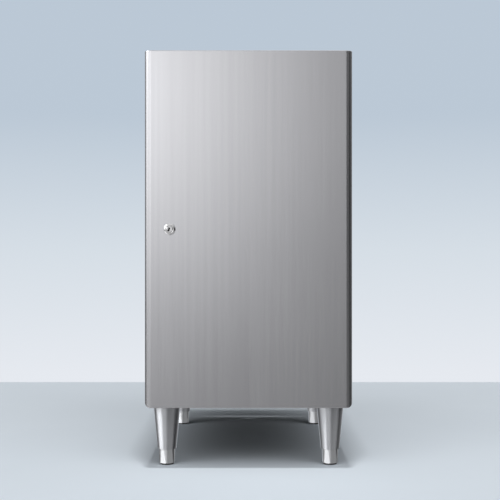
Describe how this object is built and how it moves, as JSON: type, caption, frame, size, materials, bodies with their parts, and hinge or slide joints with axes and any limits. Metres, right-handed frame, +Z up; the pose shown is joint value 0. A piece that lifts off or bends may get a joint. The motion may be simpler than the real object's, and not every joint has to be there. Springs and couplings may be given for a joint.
{
  "type": "dispenser stand cabinet",
  "caption": "Stainless steel floor stand for an ice and water dispenser: narrow cabinet with a full-front hinged door, keyed cam lock, and tapered legs with levelling feet.",
  "frame": {"origin": "on the floor, at the centre of the overall footprint", "axes": "+Z up, +X to the right as seen from the front, the door faces -Y"},
  "size_m": [0.413, 0.58, 0.833],
  "materials": {
    "cabinet_steel": "brushed stainless steel, upright grain",
    "back_steel": "plain mill-finish stainless steel",
    "door_steel": "fine brushed stainless steel, upright grain",
    "liner_steel": "plain mill-finish stainless steel",
    "hinge_steel": "satin stainless steel",
    "zinc_hardware": "bright zinc plate",
    "lock_chrome": "bright chrome plate",
    "plug_chrome": "bright nickel plate",
    "leg_polish": "polished stainless steel",
    "foot_polish": "polished stainless steel",
    "pad_rubber": "matt black rubber",
    "black_rubber": "matt black rubber"
  },
  "bodies": {
    "cabinet": {"left_side_panel": "cabinet_steel", "right_side_panel": "cabinet_steel", "top_deck": "cabinet_steel", "bottom_pan": "cabinet_steel", "back_panel": "back_steel", "lower_back_panel": "back_steel", "hinge_fixed_leaf": "hinge_steel", "hinge_pin": "hinge_steel", "hinge_fixed_rivets": "hinge_steel", "strike_plate": "zinc_hardware", "strike_rivets": "zinc_hardware", "leg_gussets": "zinc_hardware", "leg_nuts": "zinc_hardware", "leg_studs": "zinc_hardware", "leg_inserts": "zinc_hardware", "back_panel_screws": "zinc_hardware", "leg_sleeve_front_left": "leg_polish", "leg_sleeve_front_right": "leg_polish", "leg_sleeve_rear_left": "leg_polish", "leg_sleeve_rear_right": "leg_polish", "deck_edge_trim": "black_rubber", "back_edge_trim": "black_rubber", "back_grommets": "black_rubber"},
    "door": {"door_skin": "door_steel", "door_liner": "liner_steel", "door_stiffener": "liner_steel", "hinge_moving_leaf": "hinge_steel", "hinge_moving_rivets": "hinge_steel", "liner_screws": "zinc_hardware", "door_bumpers": "black_rubber", "lock_housing": "lock_chrome", "lock_washer": "zinc_hardware", "lock_nut": "zinc_hardware"},
    "lock": {"lock_plug": "plug_chrome", "lock_cam": "zinc_hardware", "lock_cam_screw": "zinc_hardware"},
    "pad_front_left": {"foot_pad_front_left": "pad_rubber"},
    "pad_front_right": {"foot_pad_front_right": "pad_rubber"},
    "pad_rear_left": {"foot_pad_rear_left": "pad_rubber"},
    "pad_rear_right": {"foot_pad_rear_right": "pad_rubber"},
    "foot_front_left": {"foot_front_left": "foot_polish"},
    "foot_front_right": {"foot_front_right": "foot_polish"},
    "foot_rear_left": {"foot_rear_left": "foot_polish"},
    "foot_rear_right": {"foot_rear_right": "foot_polish"}
  },
  "joints": [
    {"name": "door_swing", "type": "hinge", "parent": "cabinet", "child": "door", "pos_m": [0.2033, -0.2555, 0.4775], "axis": [0, 0, 1], "range_deg": [0, 110]},
    {"name": "lock_turn", "type": "hinge", "parent": "door", "child": "lock", "pos_m": [-0.1562, -0.27, 0.4775], "axis": [0, -1, 0], "range_deg": [0, 90]},
    {"name": "level_front_left", "type": "slide", "parent": "cabinet", "child": "pad_front_left", "axis": [0, 0, 1], "range_m": [-0.02, 0.008]},
    {"name": "turn_front_left", "type": "hinge", "parent": "pad_front_left", "child": "foot_front_left", "pos_m": [-0.1664, -0.223, 0.02], "axis": [0, 0, 1], "range_deg": [-3600, 1440]},
    {"name": "level_front_right", "type": "slide", "parent": "cabinet", "child": "pad_front_right", "axis": [0, 0, 1], "range_m": [-0.02, 0.008]},
    {"name": "turn_front_right", "type": "hinge", "parent": "pad_front_right", "child": "foot_front_right", "pos_m": [0.1664, -0.223, 0.02], "axis": [0, 0, 1], "range_deg": [-3600, 1440]},
    {"name": "level_rear_left", "type": "slide", "parent": "cabinet", "child": "pad_rear_left", "axis": [0, 0, 1], "range_m": [-0.02, 0.008]},
    {"name": "turn_rear_left", "type": "hinge", "parent": "pad_rear_left", "child": "foot_rear_left", "pos_m": [-0.1664, 0.2568, 0.02], "axis": [0, 0, 1], "range_deg": [-3600, 1440]},
    {"name": "level_rear_right", "type": "slide", "parent": "cabinet", "child": "pad_rear_right", "axis": [0, 0, 1], "range_m": [-0.02, 0.008]},
    {"name": "turn_rear_right", "type": "hinge", "parent": "pad_rear_right", "child": "foot_rear_right", "pos_m": [0.1664, 0.2568, 0.02], "axis": [0, 0, 1], "range_deg": [-3600, 1440]}
  ],
  "couplings": [
    {"joint": "turn_front_left", "follows": "level_front_left", "rad_per_m": 3141.6},
    {"joint": "turn_front_right", "follows": "level_front_right", "rad_per_m": 3141.6},
    {"joint": "turn_rear_left", "follows": "level_rear_left", "rad_per_m": 3141.6},
    {"joint": "turn_rear_right", "follows": "level_rear_right", "rad_per_m": 3141.6}
  ]
}
